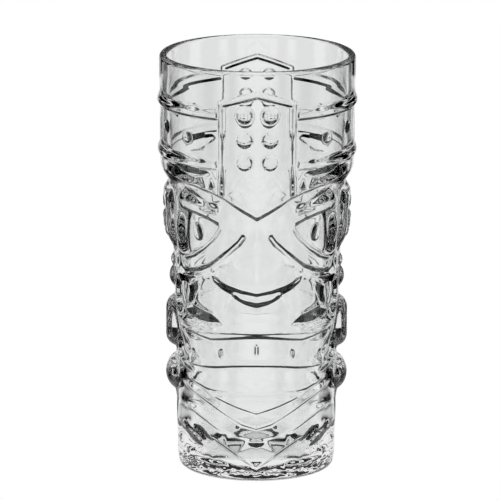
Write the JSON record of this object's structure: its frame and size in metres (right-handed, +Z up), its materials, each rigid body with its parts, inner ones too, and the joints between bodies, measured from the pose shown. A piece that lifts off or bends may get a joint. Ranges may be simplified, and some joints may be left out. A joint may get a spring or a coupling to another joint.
{
  "type": "pressed-glass tiki tumbler",
  "caption": "Tall handleless clear-glass tumbler pressed in one piece, with a stylised carved face in relief on its front and back, ears at its sides and a thick flat foot.",
  "frame": {"origin": "centre of the foot's resting ring, on the surface that the glass stands on", "axes": "+Z up along the glass's axis, -Y the way the front face looks, +X to the right as the front is looked at"},
  "size_m": [0.0752, 0.0784, 0.16],
  "materials": {
    "clear_glass": "fire-polished clear pressed glass, glossy inside and out, with soft rounded relief"
  },
  "bodies": {
    "root": {"pressed_glass_tumbler": "clear_glass"}
  },
  "joints": []
}
